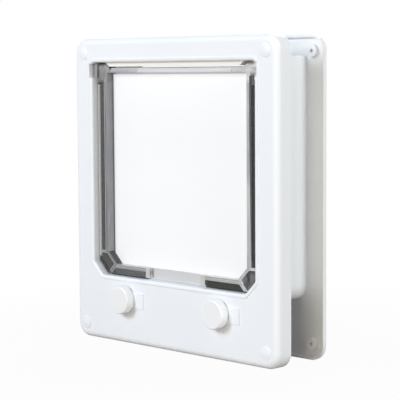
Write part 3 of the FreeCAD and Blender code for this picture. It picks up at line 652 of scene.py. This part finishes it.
def sintered(name):
    """Sintered magnet: dark and gritty."""
    material, tree, shader = node_material(name)
    grit = noise(tree, GRIT_SCALE, detail=5.0)
    tree.links.new(ramp(tree, grit, MAGNET_COLOURS), shader.inputs["Base Color"])
    shader.inputs["Metallic"].default_value = 0.4
    shader.inputs["Roughness"].default_value = MAGNET_ROUGHNESS
    bump(tree, shader, grit, 0.5, 0.0001)
    return material


def dress():
    """Give each node the look of its slot, and the back frame a less blue copy of the same white, which is
    a painted shade tint for the warmer shade it sits in.
    """
    looks = {
        "frame_white": moulded("frame_white_look", FRAME_COLOUR, FRAME_ROUGHNESS),
        "knob_white": moulded("knob_white_look", KNOB_COLOUR, KNOB_ROUGHNESS),
        "cover_cream": moulded("cover_cream_look", COVER_COLOUR, COVER_ROUGHNESS),
        "clear_plastic": clear_plastic("clear_plastic_look"),
        "bearing_grey": bearing("bearing_grey_look"),
        "pile": pile("pile_look"),
        "holder_grey": moulded("holder_grey_look", HOLDER_COLOUR, HOLDER_ROUGHNESS),
        "magnet": sintered("magnet_look"),
        "steel": steel("steel_look"),
    }
    node_looks = {"back_frame": moulded("back_white_shade_look", BACK_SHADE_COLOUR, BACK_ROUGHNESS)}
    for part in frame["record"]["subparts"]:
        look = node_looks.get(part["node"], looks[part["material_slot"]])
        for slot in NODES[part["node"]].material_slots:
            slot.material = look


def floor():
    """Large plane that looks white from afar and keeps the object's soft shadow."""
    bpy.ops.mesh.primitive_plane_add(size=FLOOR_SIZE, location=(0, 0, -FLOOR_DROP))
    plane = bpy.context.object
    plane.name = "floor"
    material, tree, shader = node_material("floor_look")
    shader.inputs["Base Color"].default_value = (*FLOOR_COLOUR, 1.0)
    shader.inputs["Roughness"].default_value = FLOOR_ROUGHNESS
    shader.inputs["Specular IOR Level"].default_value = 0.0
    white = add(tree, "ShaderNodeEmission")
    white.inputs["Color"].default_value = (*WHITE, 1.0)
    distance = add(tree, "ShaderNodeVectorMath", operation="LENGTH")
    tree.links.new(add(tree, "ShaderNodeTexCoord").outputs["Object"], distance.inputs[0])
    clear = spread(tree, distance.outputs["Value"], FLOOR_NEAR_WHITE, 1.0, FLOOR_NEAR, FLOOR_FAR)
    share = both(tree, clear, seen_by(tree, "Is Camera Ray", "Is Transmission Ray"))
    mix_shaders(tree, share, shader.outputs["BSDF"], white.outputs["Emission"], "Material Output")
    plane.data.materials.append(material)


def world():
    """Faint light from all round, seen as plain white."""
    studio = bpy.data.worlds.new("studio")
    bpy.context.scene.world = studio
    studio.use_nodes = True
    tree = studio.node_tree
    background = tree.nodes["Background"]
    background.inputs["Color"].default_value = (*WORLD_TINT, 1.0)
    background.inputs["Strength"].default_value = WORLD_LEVEL
    white = add(tree, "ShaderNodeBackground")
    white.inputs["Color"].default_value = (*WHITE, 1.0)
    white.inputs["Strength"].default_value = 1.0
    seen = seen_by(tree, "Is Camera Ray", "Is Glossy Ray", "Is Transmission Ray")
    mix_shaders(tree, seen, background.outputs["Background"], white.outputs["Background"], "World Output")


def area_light(name, place, size, power, tint):
    """Round soft lamp that points at the object's middle."""
    data = bpy.data.lights.new(name, "AREA")
    data.shape = "DISK"
    data.size = size
    data.energy = power
    data.color = tint
    lamp = bpy.data.objects.new(name, data)
    bpy.context.scene.collection.objects.link(lamp)
    lamp.location = place
    aim = Vector(LAMP_TARGET) - Vector(place)
    lamp.rotation_euler = aim.to_track_quat("-Z", "Y").to_euler()


def lights():
    area_light("key", (-0.70, -2.30, 1.30), LARGE_LAMP, KEY_POWER, KEY_TINT)
    area_light("fill", (1.00, -2.20, 0.45), LARGE_LAMP, FILL_POWER, FILL_TINT)
    area_light("side", (2.20, -0.10, 0.60), SMALL_LAMP, SIDE_POWER, SIDE_TINT)
    area_light("high_side", (1.60, 0.10, 1.60), SMALL_LAMP, HIGH_SIDE_POWER, SIDE_TINT)
    area_light("back", (-1.20, 2.10, 1.10), LARGE_LAMP, BACK_POWER, WHITE)


def camera():
    yaw = math.radians(CAMERA_YAW)
    pitch = math.radians(CAMERA_PITCH)
    roll = math.radians(CAMERA_ROLL)
    forward = Vector((-math.sin(yaw) * math.cos(pitch), math.cos(yaw) * math.cos(pitch), -math.sin(pitch)))
    level = Vector((math.cos(yaw), math.sin(yaw), 0.0))
    down = forward.cross(level)
    right = level * math.cos(roll) + down * math.sin(roll)
    up = level * math.sin(roll) - down * math.cos(roll)
    data = bpy.data.cameras.new("camera")
    data.lens = CAMERA_LENS
    data.sensor_width = CAMERA_SENSOR
    data.sensor_fit = "HORIZONTAL"
    data.clip_start = CAMERA_NEAR
    data.clip_end = CAMERA_FAR
    eye = bpy.data.objects.new("camera", data)
    bpy.context.scene.collection.objects.link(eye)
    turn = Matrix((right, up, -forward)).transposed()
    eye.matrix_world = Matrix.Translation(CAMERA_PLACE) @ turn.to_4x4()
    bpy.context.scene.camera = eye


dress()
floor()
world()
lights()
camera()
bpy.context.scene.view_settings.view_transform = "Standard"
